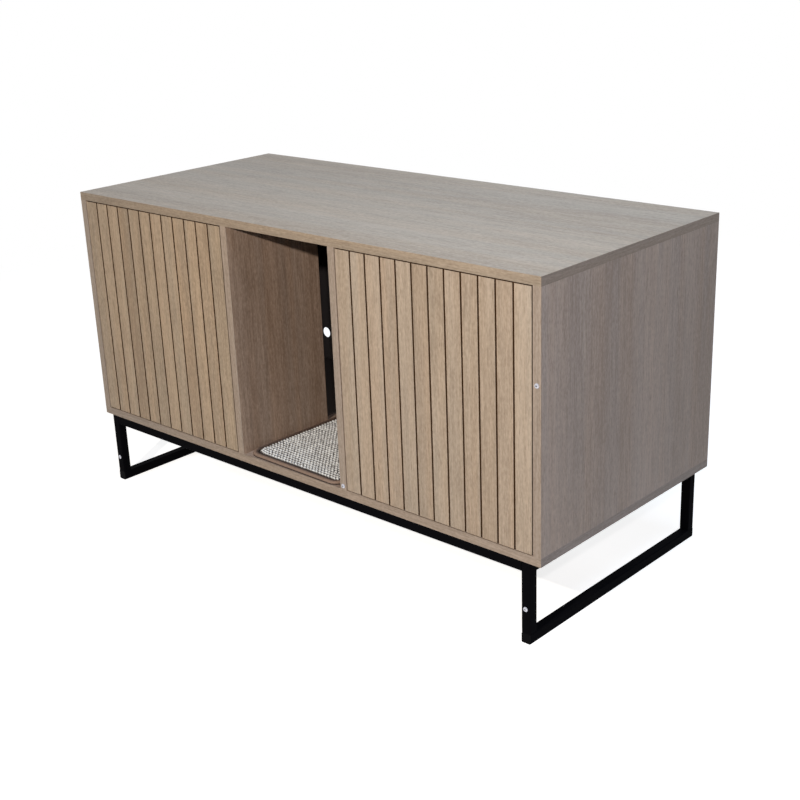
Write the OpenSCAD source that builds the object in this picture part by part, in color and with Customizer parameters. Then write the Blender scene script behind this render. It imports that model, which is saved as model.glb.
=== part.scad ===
// Cat house: a low sideboard on a black tube frame. Two slatted doors close
// the compartments at its ends, and the open niche between them is the cat's
// way in. The dividers end short of the back panel, so the cat goes round them.
// Millimetres. The front faces -Y, +Z is up, and the origin is on the floor,
// under the middle of the whole object.

/* [Cabinet] */
// Width over the top panel
cabinet_w = 1200; // [1100:10:1400]
// Depth of the boards, front edge to rear edge
cabinet_d = 535; // [480:5:620]
// Height from the floor to the top face
cabinet_h = 650; // [600:5:800]
// Thickness of the laminated boards
board_t = 16; // [16:0.5:19]
// Thickness of the glued edge bands
band_t = 1; // [0.5:0.25:2]
// Width of the open niche
niche_w = 272; // [268:4:320]
// Depth of the two dividers
divider_d = 236; // [200:4:280]

/* [Back panel] */
// Thickness of the back panel
back_t = 3; // [2.5:0.5:5]
// How far the back panel lies in front of the boards' rear edges
back_recess = 2; // [2:0.5:5]
// Width of the rebate that the back panel lies in
rebate_w = 8; // [7:0.5:10]
// Gap between the back panel's edges and the rebate
rebate_gap = 0.5; // [0.2:0.1:1]
// Diameter of the vent hole
vent_d = 25; // [20:1:40]
// Distance of the vent hole from the outside of the side panel
vent_in = 168; // [100:1:250]
// Height of the vent hole above the compartment floor
vent_up = 66; // [40:1:150]

/* [Doors] */
// Thickness of a door
door_t = 16; // [15:0.5:18]
// Gap beside a door
door_side_gap = 2.5; // [2.25:0.25:4]
// Gap above and below a door
door_end_gap = 2; // [1.5:0.25:3]
// Number of slats that the grooves leave
slat_count = 12; // [8:1:16]
// Width of a groove
groove_w = 3; // [2:0.25:5]
// Depth of a groove
groove_depth = 2.5; // [1.5:0.25:4]

/* [Hinges] */
// Diameter of a pivot pin
pin_d = 5; // [4:0.5:6]
// How far a pivot pin reaches out of its panel
pin_reach = 12; // [10:1:15]
// Room left when a door's corner swings past the side panel
swing_clear = 0.4; // [0.3:0.1:0.8]
// Wall of the bush round a pin
bush_wall = 1.5; // [1:0.25:2]
// Width of the bush's flange round its barrel
bush_flange = 2; // [1:0.25:2.5]
// Length of a pivot plate
plate_l = 44; // [40:1:60]
// Width of a pivot plate
plate_w = 10; // [9:0.5:11]
// Thickness of a pivot plate
plate_t = 2; // [1.5:0.25:3]
// From the pin to the plate's outer end
plate_end = 8; // [6:0.5:10]
// Spacing of the plate's screws
plate_screw_pitch = 13; // [11:1:14]
// Length of a pivot plate's screw
plate_screw_l = 12; // [8:1:14]

/* [Latches] */
// Width of the latch housing, out from the divider
latch_w = 18; // [17:0.5:22]
// Height of the latch housing
latch_h = 18; // [16:0.5:24]
// Length of the latch housing
latch_l = 46; // [40:1:60]
// Height of the latch housing's screw ears, end to end
ear_h = 38; // [36:1:48]
// Length of a screw ear along the housing
ear_l = 14; // [10:1:20]
// Thickness of a screw ear
ear_t = 3; // [2:0.5:4]
// Diameter of the plunger's nose
nose_d = 9; // [8:0.5:10]
// Diameter of the plunger's collar
collar_d = 11; // [10.5:0.25:12]
// Length of the plunger's collar
collar_l = 20; // [14:1:22]
// How far the nose stands out of the housing
nose_out = 5; // [4:0.5:8]
// Wall at the front of the housing that holds the collar in
mouth_t = 3; // [2:0.5:5]
// Depth of the housing's bore behind that wall
bore_l = 37; // [34:1:40]
// Diameter of the magnet in the nose
magnet_d = 6; // [4:0.5:7]
// Thickness of the magnet
magnet_t = 3; // [2:0.5:4]
// Wire of the latch spring
spring_wire = 0.8; // [0.5:0.1:1]
// Middle diameter of the latch spring's coils
spring_d = 7; // [5:0.5:8]
// Turns of the latch spring
spring_turns = 6; // [4:1:8]
// Width of the strike plate on a door
strike_w = 11; // [9:0.5:12]
// Height of the strike plate
strike_h = 28; // [26:1:36]
// Thickness of the strike plate
strike_t = 1; // [0.8:0.1:1.5]
// Length of a strike plate's screw
strike_screw_l = 9; // [6:1:11]

/* [Frame] */
// Height of the frame under the cabinet
leg_h = 154; // [120:2:200]
// Side of the square tube
tube = 19; // [16:0.5:22]
// Wall of the tube
tube_wall = 1.5; // [1:0.25:2]
// Rounding of the tube's corners
tube_round = 2; // [1:0.25:3]
// From the cabinet's side to the legs' outer faces
leg_side_inset = 22; // [15:1:60]
// From the cabinet's front to the front legs' faces
leg_front_inset = 0; // [0:1:40]
// From the cabinet's rear to the rear legs' faces
leg_rear_inset = 5; // [4:1:40]
// Height of the spigots that the legs slide over
spigot_h = 62; // [58:1:90]
// Gap between a spigot and its leg, each side
spigot_gap = 0.2; // [0.1:0.05:0.4]
// Thickness of an end cap's face
cap_t = 2; // [1:0.5:4]
// Length of an end cap's plug
cap_plug = 8; // [5:1:15]
// How far a cap's face lies inside the tube's outline
cap_step = 0.2; // [0.1:0.1:0.5]
// Height of the screws in the left legs
left_leg_screw_z = 54; // [40:1:66]
// Height of the screws in the right legs
right_leg_screw_z = 66; // [40:1:68]
// Distance of the frame screws from the middle, along the side bars
bar_screw_y = 120; // [60:5:180]
// Distance of the frame screws from the middle, along the rails
rail_screw_x = 280; // [200:10:450]
// How deep the frame screws go into the bottom panel
frame_screw_grip = 10; // [6:1:12]

/* [Fasteners] */
// Diameter of the pan heads on the front edges and the legs
head_d = 8.8; // [8:0.2:10]
// Height of those heads
head_h = 2.4; // [1.6:0.2:3]
// Diameter of those screws
shank_d = 4.8; // [4:0.2:5]
// Length of the screws in the front edges
edge_screw_l = 30; // [20:1:40]
// Length of the screws in the legs
leg_screw_l = 10; // [6:1:12]
// Height above the compartment floor of the screw in the side panel's edge
side_edge_screw_up = 302; // [50:1:400]
// Height above the compartment floor of the screw in the divider's edge
divider_edge_screw_up = 7.6; // [5.5:0.1:30]
// Diameter of a cam lock
cam_d = 15; // [14:0.5:16]
// Depth of a cam lock
cam_depth = 12.5; // [12:0.5:13]
// From the joint to the middle of a cam lock
cam_setback = 24; // [20:1:34]
// Diameter of a cam bolt's thread
bolt_d = 7; // [6:0.5:7.5]
// Depth of that thread in the panel
bolt_grip = 9; // [8:0.5:10]
// Diameter of a cam bolt's stem
stem_d = 5; // [4:0.5:5.5]
// Diameter of a dowel
dowel_d = 8; // [6:0.5:8.5]
// Length of a dowel
dowel_l = 30; // [25:1:35]
// How much of a dowel is in the top or bottom panel
dowel_grip = 10; // [8:0.5:11]
// From a side panel's edges to its nearest cam locks
side_cam_in = 60; // [45:1:80]
// From a divider's edges to its cam locks
divider_cam_in = 55; // [42:1:65]
// From a cam lock to the dowel beside it
dowel_step = 32; // [24:1:40]
// Number of back panel screws along the top, and along the bottom
back_screws_across = 7; // [4:1:12]
// Number of back panel screws up each side
back_screws_up = 3; // [2:1:5]
// Length of a back panel screw
back_screw_l = 14; // [10:1:20]

/* [Mat and liner] */
// Gap between the scratching mat and a divider
mat_side_gap = 7; // [5:0.5:16]
// Floor left bare between the mat and the back panel
mat_rear_gap = 47.5; // [5:2.5:230]
// Thickness of the woven field
mat_t = 8; // [5:0.5:10]
// Thickness of the bound edge
binding_t = 6; // [4:0.5:8]
// Width of the bound edge
binding_w = 11; // [8:0.5:15]
// Radius of the mat's corners
mat_round = 25; // [20:1:45]
// From the cabinet's front to the mat
mat_in = 2.5; // [1:0.5:20]
// Thickness of the compartment's floor liner
liner_t = 2; // [1:0.25:4]
// Gap round the floor liner
liner_gap = 1; // [0.5:0.25:4]
// Room in front of the floor liner, past the door's swing
liner_front = 8; // [4:1:30]

/* [Clearances] */
// Radial gap of a pin or plunger in its bore
run_gap = 0.05; // [0.03:0.01:0.1]
// Gap round a pressed or screwed piece
fit_gap = 0.05; // [0.03:0.01:0.1]
// Gap between pieces that move past each other
slide_gap = 0.3; // [0.3:0.05:0.5]
// Gap under what only lies in place
lay_gap = 0.3; // [0.3:0.05:0.5]
// How far a hole goes on past the screw in it
tip_room = 0.5; // [0.3:0.1:1]

/* [Hidden] */
$fn = 48;
cut = 1; // how far a cutter runs past the face that it opens
pivot_screw_d = 3;
pivot_head_d = 6;
latch_screw_d = 3;
latch_head_d = 6;
latch_head_h = 2;
latch_screw_l = 12;
strike_screw_d = 2.5;
strike_head_d = 4.5;
strike_screw_pitch = 18;
back_screw_d = 2.5;
back_head_d = 5;
back_head_h = 1.6;
bolt_head_low = 2; // how far a bolt's head passes the middle of its cam lock
recess_w = 1; // arm of a cross recess
cam_recess = 2; // depth of the cross in a cam lock

// Levels and faces, from the floor up and from the middle out
front_y = (head_h - cabinet_d) / 2;
rear_y = front_y + cabinet_d;
back_y = rear_y - back_recess - back_t;
floor_z = leg_h + board_t;
ceiling_z = cabinet_h - board_t;
inner_h = ceiling_z - floor_z;
outer_x = cabinet_w / 2;
side_x = outer_x - board_t;
niche_x = niche_w / 2;
divider_x = niche_x + board_t;
divider_rear_y = front_y + divider_d;
mat_w = niche_w - 2 * mat_side_gap;
mat_l = back_y - front_y - mat_in - mat_rear_gap;

// Doors and hinges. A door's outer front corner swings round the pin, so the
// pin is far enough in for that corner to pass the side panel.
door_lo_x = divider_x + door_side_gap;
door_hi_x = side_x - door_side_gap;
door_rear_y = front_y + door_t;
slat_pitch = (door_hi_x - door_lo_x) / slat_count;
pin_back = door_t / 2;
swing_gap = door_side_gap - swing_clear;
pin_in = (pin_back * pin_back - swing_gap * swing_gap) / (2 * swing_gap);
pin_x = door_hi_x - pin_in;
pin_y = front_y + pin_back;
corner_swing = norm([pin_in, pin_back]);
pin_r = pin_d / 2;
bush_r = pin_r + run_gap + bush_wall;
bush_floor = 1; // closed end of the bush
bush_deep = pin_reach + tip_room + bush_floor;

// Latches
latch_z = floor_z + inner_h / 2;
plunger_x = divider_x + latch_w / 2;
tip_y = door_rear_y + strike_t + slide_gap;
latch_y = tip_y + nose_out;
collar_y = latch_y + mouth_t + slide_gap;
bore_end_y = latch_y + mouth_t + bore_l;
ear_y = latch_y + latch_l / 2;
ear_screw_up = (latch_h + ear_h) / 4;

// Frame
leg_outer_x = outer_x - leg_side_inset;
leg_inner_x = leg_outer_x - tube;
leg_mid_x = leg_outer_x - tube / 2;
leg_front_y = front_y + leg_front_inset;
leg_rear_y = rear_y - leg_rear_inset;
bar_z = leg_h - tube / 2;

// Joints of the uprights with the top and bottom panels: the upright's middle,
// which way its cam locks face, and where the cam locks and dowels are
side_cams = [front_y + side_cam_in, rear_y - side_cam_in];
side_dowels = [side_cams[0] + dowel_step, side_cams[1] - dowel_step];
divider_cams = [front_y + divider_cam_in, divider_rear_y - divider_cam_in];
divider_dowels = [divider_cams[0] + dowel_step, divider_cams[1] - dowel_step];
SIDE_JOINT = [outer_x - board_t / 2, -1, side_cams, side_dowels];
DIVIDER_JOINT = [niche_x + board_t / 2, 1, divider_cams, divider_dowels];

// Colours, as they look in daylight
OAK = [0.66, 0.59, 0.50];
OAK_EDGE = [0.68, 0.61, 0.52];
BLACK_STEEL = [0.05, 0.05, 0.055];
BLACK_BOARD = [0.10, 0.10, 0.11];
ZINC = [0.75, 0.75, 0.76];
GREY_PLASTIC = [0.55, 0.56, 0.58];
NYLON = [0.88, 0.87, 0.83];
MAGNET = [0.62, 0.63, 0.65];
BEECH = [0.78, 0.64, 0.46];
SISAL = [0.74, 0.73, 0.69];
BINDING = [0.46, 0.37, 0.29];
RUBBER = [0.08, 0.08, 0.08];

// Shared shapes

// A block from its lowest corner to its highest corner
module block(lo, hi) {
    translate(lo) cube(hi - lo);
}

// Children on both sides of the middle
module both_sides() {
    for (flip = [0, 1]) mirror([flip, 0, 0]) children();
}

// Children at the top and bottom joints, with z = 0 on the panel's face and
// +Z into the panel
module both_ends() {
    translate([0, 0, ceiling_z]) children();
    translate([0, 0, floor_z]) mirror([0, 0, 1]) children();
}

// A rod along +Z from one level to another
module rod(r, z0, z1) {
    translate([0, 0, z0]) cylinder(r = r, h = z1 - z0);
}

// Turns +Z to +Y, and +Z to +X
module along_y() {
    rotate([-90, 0, 0]) children();
}

module along_x() {
    rotate([0, 90, 0]) children();
}

// A square with round corners
module rounded_rect(w, l, r) {
    square([w - 2 * r, l], center = true);
    square([w, l - 2 * r], center = true);
    for (x = [-1, 1], y = [-1, 1]) translate([x * (w / 2 - r), y * (l / 2 - r)]) circle(r);
}

// The cross that a screwdriver fits, cut from z = z0 down to a depth
module cross_recess(span, z0, depth) {
    for (turn = [0, 90]) rotate(turn) {
        block([-span / 2, -recess_w / 2, z0 - cut], [span / 2, recess_w / 2, z0 + depth]);
    }
}

// A screw along +Z with its domed head below z = 0
module pan_screw(hd, hh, sd, length) {
    difference() {
        union() {
            rod(hd / 2, -hh / 2, 0);
            translate([0, 0, -hh]) cylinder(r1 = hd * 0.36, r2 = hd / 2, h = hh / 2);
            rod(sd / 2, 0, length);
        }
        cross_recess(hd * 0.52, -hh, hh * 0.6);
    }
}

// A screw along +Z with its countersunk head flush with z = 0
module flush_screw(hd, sd, length) {
    difference() {
        union() {
            cylinder(r1 = hd / 2, r2 = sd / 2, h = (hd - sd) / 2);
            rod(sd / 2, 0, length);
        }
        cross_recess(hd * 0.5, 0, hd * 0.15);
    }
}

// The hole for a flush screw, with the same gap all round
module flush_hole(hd, sd, length) {
    cylinder(r1 = hd / 2 + fit_gap, r2 = sd / 2 + fit_gap, h = (hd - sd) / 2);
    rod(sd / 2 + fit_gap, -cut, length);
}

// A length of square tube along +Z
module square_tube(outer, wall, r, length) {
    linear_extrude(length) difference() {
        rounded_rect(outer, outer, r);
        square(outer - 2 * wall, center = true);
    }
}

// Cabinet boards

// Where the back panel lies, cut from the boards round it
module back_rebate() {
    block(
        [-side_x - rebate_w, back_y, floor_z - rebate_w],
        [side_x + rebate_w, rear_y + cut, ceiling_z + rebate_w]
    );
}

// Places of the back panel's screws, with +Z turned to point forward into the boards
module at_back_screws() {
    reach_x = side_x + rebate_w / 2;
    low_z = floor_z - rebate_w / 2;
    high_z = ceiling_z + rebate_w / 2;
    step_x = 2 * side_x / back_screws_across;
    step_z = inner_h / back_screws_up;
    for (i = [0.5 : back_screws_across], z = [low_z, high_z]) {
        translate([i * step_x - side_x, rear_y - back_recess, z]) rotate([90, 0, 0]) children();
    }
    for (i = [0.5 : back_screws_up], x = [-reach_x, reach_x]) {
        translate([x, rear_y - back_recess, floor_z + i * step_z]) rotate([90, 0, 0]) children();
    }
}

module back_screw_holes() {
    at_back_screws() rod(back_screw_d / 2 + fit_gap, -cut, back_screw_l + tip_room);
}

// Holes of one upright's joints, in the panels and in the upright
module joint_holes(joint) {
    translate([joint[0], 0, 0]) both_ends() {
        for (y = joint[2]) translate([0, y, 0]) {
            rod(bolt_d / 2 + fit_gap, -cam_setback, bolt_grip + tip_room);
            translate([0, 0, -cam_setback]) along_x() cam_hole(joint[1]);
        }
        for (y = joint[3]) translate([0, y, 0]) {
            rod(dowel_d / 2 + fit_gap, dowel_grip - dowel_l - tip_room, dowel_grip + tip_room);
        }
    }
}

// The round pocket of a cam lock, open on the face that it is turned from
module cam_hole(face) {
    z0 = face > 0 ? board_t / 2 - cam_depth : -board_t / 2 - cut;
    rod(cam_d / 2 + fit_gap, z0, z0 + cam_depth + cut);
}

// A pivot plate's pocket, pin and screws, in the joint's own frame
module plate_block(gap) {
    hi_x = pin_x + plate_end;
    half_w = plate_w / 2 + gap;
    block([hi_x - plate_l - gap, pin_y - half_w, 0], [hi_x + gap, pin_y + half_w, plate_t]);
}

module at_plate_screws() {
    for (i = [1, 2]) translate([pin_x - i * plate_screw_pitch, pin_y, 0]) children();
}

module pivot_pockets() {
    both_sides() both_ends() {
        plate_block(fit_gap);
        translate([0, 0, -cut]) plate_block(fit_gap);
        at_plate_screws() rod(pivot_screw_d / 2 + fit_gap, 0, plate_screw_l + tip_room);
    }
}

module all_joint_holes() {
    both_sides() {
        joint_holes(SIDE_JOINT);
        joint_holes(DIVIDER_JOINT);
    }
}

// A full-width board between two levels, with what both such boards share
module wide_board(z0, z1) {
    difference() {
        block([-outer_x + band_t, front_y + band_t, z0], [outer_x - band_t, rear_y, z1]);
        back_rebate();
        back_screw_holes();
        all_joint_holes();
        pivot_pockets();
    }
}

module top_panel() {
    color(OAK) wide_board(ceiling_z, cabinet_h);
}

module bottom_panel() {
    color(OAK) difference() {
        wide_board(leg_h, floor_z);
        at_frame_screws() rod(shank_d / 2 + fit_gap, 0, tube + frame_screw_grip + tip_room);
    }
}

// The right-hand side panel
module side_board(edge_screw) {
    difference() {
        block([side_x, front_y + band_t, floor_z], [outer_x, rear_y, ceiling_z]);
        back_rebate();
        back_screw_holes();
        joint_holes(SIDE_JOINT);
        if (edge_screw) at_side_edge_screw() edge_screw_hole();
    }
}

module left_side_panel() {
    color(OAK) mirror([1, 0, 0]) side_board(false);
}

module right_side_panel() {
    color(OAK) side_board(true);
}

// The right-hand divider, with its latch screws' holes
module divider_board(edge_screw) {
    difference() {
        block([niche_x, front_y + band_t, floor_z], [divider_x, divider_rear_y, ceiling_z]);
        joint_holes(DIVIDER_JOINT);
        at_latch_screws() rod(latch_screw_d / 2 + fit_gap, 0, latch_screw_l + tip_room);
        if (edge_screw) at_divider_edge_screw() edge_screw_hole();
    }
}

module left_divider() {
    color(OAK) mirror([1, 0, 0]) divider_board(false);
}

module right_divider() {
    color(OAK) divider_board(true);
}

module back_panel() {
    color(BLACK_BOARD) difference() {
        block(
            [-side_x - rebate_w + rebate_gap, back_y, floor_z - rebate_w + rebate_gap],
            [side_x + rebate_w - rebate_gap, back_y + back_t, ceiling_z + rebate_w - rebate_gap]
        );
        back_screw_holes();
        translate([vent_in - outer_x, back_y, floor_z + vent_up]) along_y() {
            rod(vent_d / 2, -cut, back_t + cut);
        }
    }
}

// Bands glued round the front and side edges of a full-width board
module wide_board_bands(z0, z1) {
    block([-outer_x, front_y, z0], [outer_x, front_y + band_t, z1]);
    both_sides() block([outer_x - band_t, front_y + band_t, z0], [outer_x, rear_y, z1]);
}

module top_edge_bands() {
    color(OAK_EDGE) wide_board_bands(ceiling_z, cabinet_h);
}

module bottom_edge_bands() {
    color(OAK_EDGE) wide_board_bands(leg_h, floor_z);
}

module upright_edge_bands() {
    color(OAK_EDGE) difference() {
        both_sides() for (x = [niche_x, side_x]) {
            block([x, front_y, floor_z], [x + board_t, front_y + band_t, ceiling_z]);
        }
        at_side_edge_screw() edge_screw_hole();
        at_divider_edge_screw() edge_screw_hole();
    }
}

// Doors

// The right-hand door: a board with full-height grooves in its face
module door_board() {
    low_z = floor_z + door_end_gap;
    high_z = ceiling_z - door_end_gap;
    difference() {
        block([door_lo_x, front_y, low_z], [door_hi_x, door_rear_y, high_z]);
        for (i = [1 : slat_count - 1]) {
            mid_x = door_lo_x + i * slat_pitch;
            block(
                [mid_x - groove_w / 2, front_y - cut, low_z - cut],
                [mid_x + groove_w / 2, front_y + groove_depth, high_z + cut]
            );
        }
        both_ends() translate([pin_x, pin_y, 0]) rod(bush_r + fit_gap, -bush_deep, 0);
        at_strike_screws() rod(strike_screw_d / 2 + fit_gap, 0, strike_screw_l + tip_room);
    }
}

module left_door() {
    color(OAK_EDGE) mirror([1, 0, 0]) door_board();
}

module right_door() {
    color(OAK_EDGE) door_board();
}

// Hinges

module pivot_plates() {
    color(BLACK_STEEL) both_sides() both_ends() difference() {
        plate_block(0);
        translate([pin_x, pin_y, 0]) rod(pin_r + fit_gap, -cut, plate_t + cut);
        at_plate_screws() flush_hole(pivot_head_d, pivot_screw_d, plate_t + cut);
    }
}

module pivot_pins() {
    color(BLACK_STEEL) both_sides() both_ends() translate([pin_x, pin_y, 0]) rod(pin_r, -pin_reach, plate_t);
}

module pivot_screws() {
    color(BLACK_STEEL) both_sides() both_ends() at_plate_screws() {
        flush_screw(pivot_head_d, pivot_screw_d, plate_screw_l);
    }
}

// The right-hand door's two bushes, a flanged cup on each pin
module door_bushes() {
    both_ends() translate([pin_x, pin_y, 0]) difference() {
        union() {
            rod(bush_r, -bush_deep, -door_end_gap);
            rod(bush_r + bush_flange, -door_end_gap, -slide_gap);
        }
        rod(pin_r + run_gap, -pin_reach - tip_room, 0);
    }
}

module left_door_bushes() {
    color(RUBBER) mirror([1, 0, 0]) door_bushes();
}

module right_door_bushes() {
    color(RUBBER) door_bushes();
}

// Latches, drawn for the right-hand door

// Places of the latch housing's screws, with +Z into the divider
module at_latch_screws() {
    for (side = [-1, 1]) {
        translate([divider_x + ear_t, ear_y, latch_z + side * ear_screw_up]) rotate([0, -90, 0]) children();
    }
}

// Places of the strike plate's screws, with +Z into the door
module at_strike_screws() {
    for (side = [-1, 1]) {
        z = latch_z + side * strike_screw_pitch / 2;
        translate([plunger_x, door_rear_y + strike_t, z]) rotate([90, 0, 0]) children();
    }
}

// The line of the plunger, with +Z to the rear
module on_plunger_line(y) {
    translate([plunger_x, y, latch_z]) along_y() children();
}

module latch_housing() {
    difference() {
        union() {
            block(
                [divider_x, latch_y, latch_z - latch_h / 2],
                [divider_x + latch_w, latch_y + latch_l, latch_z + latch_h / 2]
            );
            block(
                [divider_x, ear_y - ear_l / 2, latch_z - ear_h / 2],
                [divider_x + ear_t, ear_y + ear_l / 2, latch_z + ear_h / 2]
            );
        }
        on_plunger_line(latch_y) rod(nose_d / 2 + run_gap, -cut, mouth_t + cut);
        on_plunger_line(latch_y) rod(collar_d / 2 + run_gap, mouth_t, mouth_t + bore_l);
        at_latch_screws() rod(latch_screw_d / 2 + fit_gap, -cut, ear_t + cut);
    }
}

module latch_plunger() {
    difference() {
        union() {
            on_plunger_line(tip_y) rod(nose_d / 2, 0, collar_y - tip_y);
            on_plunger_line(collar_y) rod(collar_d / 2, 0, collar_l);
        }
        on_plunger_line(tip_y) rod(magnet_d / 2 + fit_gap, -cut, magnet_t);
    }
}

module latch_magnet() {
    on_plunger_line(tip_y) rod(magnet_d / 2, 0, magnet_t);
}

// A coil of round wire along +Z, as one swept tube
module coil(mid_r, wire_r, turns, length) {
    sides = 6;
    per_turn = 12;
    rings = turns * per_turn;
    rise = length - 2 * wire_r;
    points = [
        for (i = [0 : rings], k = [0 : sides - 1])
            let (turn = 360 * i / per_turn, a = 360 * k / sides, r = mid_r + wire_r * cos(a))
            [r * cos(turn), r * sin(turn), wire_r + rise * i / rings + wire_r * sin(a)]
    ];
    skin = [
        for (i = [0 : rings - 1], k = [0 : sides - 1])
            let (a = i * sides + k, b = i * sides + (k + 1) % sides)
            each [[a, a + sides, b + sides], [a, b + sides, b]]
    ];
    last = rings * sides;
    start_cap = [for (k = [1 : sides - 2]) [0, k, k + 1]];
    end_cap = [for (k = [1 : sides - 2]) [last, last + k + 1, last + k]];
    polyhedron(points, concat(skin, start_cap, end_cap), convexity = 10);
}

// The spring between the plunger's collar and the end of the bore
module latch_spring() {
    start = collar_y + collar_l + slide_gap;
    on_plunger_line(start) coil(spring_d / 2, spring_wire / 2, spring_turns, bore_end_y - slide_gap - start);
}

module strike_plate() {
    difference() {
        block(
            [plunger_x - strike_w / 2, door_rear_y, latch_z - strike_h / 2],
            [plunger_x + strike_w / 2, door_rear_y + strike_t, latch_z + strike_h / 2]
        );
        at_strike_screws() flush_hole(strike_head_d, strike_screw_d, strike_t + cut);
    }
}

module strike_screws() {
    at_strike_screws() flush_screw(strike_head_d, strike_screw_d, strike_screw_l);
}

module left_latch_housing() {
    color(GREY_PLASTIC) mirror([1, 0, 0]) latch_housing();
}

module right_latch_housing() {
    color(GREY_PLASTIC) latch_housing();
}

module left_latch_plunger() {
    color(NYLON) mirror([1, 0, 0]) latch_plunger();
}

module right_latch_plunger() {
    color(NYLON) latch_plunger();
}

module left_latch_magnet() {
    color(MAGNET) mirror([1, 0, 0]) latch_magnet();
}

module right_latch_magnet() {
    color(MAGNET) latch_magnet();
}

module left_latch_spring() {
    color(ZINC) mirror([1, 0, 0]) latch_spring();
}

module right_latch_spring() {
    color(ZINC) latch_spring();
}

module latch_screws() {
    color(ZINC) both_sides() at_latch_screws() {
        pan_screw(latch_head_d, latch_head_h, latch_screw_d, latch_screw_l);
    }
}

module left_strike_plate() {
    color(ZINC) mirror([1, 0, 0]) strike_plate();
}

module right_strike_plate() {
    color(ZINC) strike_plate();
}

module left_strike_screws() {
    color(ZINC) mirror([1, 0, 0]) strike_screws();
}

module right_strike_screws() {
    color(ZINC) strike_screws();
}

// Frame, drawn for the right-hand side

// Places of a leg's screw on its outward face: facing -1 for a front leg, 1 for a rear leg
module at_leg_screw(facing, z) {
    y = facing < 0 ? leg_front_y : leg_rear_y;
    translate([leg_mid_x, y, z]) rotate([facing * 90, 0, 0]) children();
}

// The middle of a front or rear leg
module at_leg(facing) {
    y = facing < 0 ? leg_front_y + tube / 2 : leg_rear_y - tube / 2;
    translate([leg_mid_x, y, 0]) children();
}

module leg(facing, screw_z) {
    difference() {
        at_leg(facing) translate([0, 0, tube]) square_tube(tube, tube_wall, tube_round, leg_h - tube);
        at_leg_screw(facing, screw_z) rod(shank_d / 2 + 2 * fit_gap, -cut, tube_wall + cut);
    }
}

module left_front_leg() {
    color(BLACK_STEEL) mirror([1, 0, 0]) leg(-1, left_leg_screw_z);
}

module left_rear_leg() {
    color(BLACK_STEEL) mirror([1, 0, 0]) leg(1, left_leg_screw_z);
}

module right_front_leg() {
    color(BLACK_STEEL) leg(-1, right_leg_screw_z);
}

module right_rear_leg() {
    color(BLACK_STEEL) leg(1, right_leg_screw_z);
}

module runner() {
    length = leg_rear_y - leg_front_y - 2 * cap_t;
    translate([leg_mid_x, leg_front_y + cap_t, tube / 2]) along_y() {
        square_tube(tube, tube_wall, tube_round, length);
    }
}

module left_runner() {
    color(BLACK_STEEL) mirror([1, 0, 0]) runner();
}

module right_runner() {
    color(BLACK_STEEL) runner();
}

// A rail across the cabinet between two legs, with its middle at y
module rail(y) {
    difference() {
        translate([-leg_inner_x, y, bar_z]) along_x() {
            square_tube(tube, tube_wall, tube_round, 2 * leg_inner_x);
        }
        at_frame_screws() rod(shank_d / 2 + fit_gap, -cut, tube + cut);
    }
}

module front_rail() {
    color(BLACK_STEEL) rail(leg_front_y + tube / 2);
}

module rear_rail() {
    color(BLACK_STEEL) rail(leg_rear_y - tube / 2);
}

// The right-hand bar from the front leg to the rear leg
module side_bar() {
    length = leg_rear_y - leg_front_y - 2 * tube;
    difference() {
        translate([leg_mid_x, leg_front_y + tube, bar_z]) along_y() {
            square_tube(tube, tube_wall, tube_round, length);
        }
        at_frame_screws() rod(shank_d / 2 + fit_gap, -cut, tube + cut);
    }
}

module left_side_bar() {
    color(BLACK_STEEL) mirror([1, 0, 0]) side_bar();
}

module right_side_bar() {
    color(BLACK_STEEL) side_bar();
}

// Tubes welded on the runners, which the legs slide over
module leg_spigots() {
    color(BLACK_STEEL) for (facing = [-1, 1]) {
        spigot(facing, right_leg_screw_z);
        mirror([1, 0, 0]) spigot(facing, left_leg_screw_z);
    }
}

module spigot(facing, screw_z) {
    outer = tube - 2 * tube_wall - 2 * spigot_gap;
    difference() {
        at_leg(facing) translate([0, 0, tube]) square_tube(outer, tube_wall, tube_wall / 2, spigot_h);
        at_leg_screw(facing, screw_z) rod(shank_d / 2 + fit_gap, 0, 2 * tube_wall + spigot_gap + cut);
    }
}

module leg_screws() {
    color(ZINC) for (facing = [-1, 1]) {
        at_leg_screw(facing, right_leg_screw_z) pan_screw(head_d, head_h, shank_d, leg_screw_l);
        mirror([1, 0, 0]) at_leg_screw(facing, left_leg_screw_z) {
            pan_screw(head_d, head_h, shank_d, leg_screw_l);
        }
    }
}

// A plug in an open end of a runner, its face at z = 0 and the plug along +Z
module end_cap() {
    face = tube - 2 * cap_step;
    plug = tube - 2 * tube_wall - 2 * cap_step;
    linear_extrude(cap_t) rounded_rect(face, face, tube_round);
    translate([0, 0, cap_t]) linear_extrude(cap_plug) square(plug, center = true);
}

module runner_end_caps() {
    color(RUBBER) both_sides() {
        translate([leg_mid_x, leg_front_y, tube / 2]) along_y() end_cap();
        translate([leg_mid_x, leg_rear_y, tube / 2]) mirror([0, 1, 0]) along_y() end_cap();
    }
}

// Places of the screws that hold the frame up to the bottom panel, with +Z up
module at_frame_screws() {
    rail_ys = [leg_front_y + tube / 2, leg_rear_y - tube / 2];
    both_sides() translate([0, 0, leg_h - tube]) {
        for (y = [-bar_screw_y, bar_screw_y]) translate([leg_mid_x, y, 0]) children();
        for (y = rail_ys) translate([rail_screw_x, y, 0]) children();
    }
}

module frame_screws() {
    color(ZINC) at_frame_screws() pan_screw(head_d, head_h, shank_d, tube + frame_screw_grip);
}

// Fasteners of the cabinet

// Places of the two screws in the front edges, with +Z to the rear
module at_side_edge_screw() {
    translate([outer_x - board_t / 2, front_y, floor_z + side_edge_screw_up]) along_y() children();
}

module at_divider_edge_screw() {
    translate([niche_x + board_t / 2, front_y, floor_z + divider_edge_screw_up]) along_y() children();
}

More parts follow.
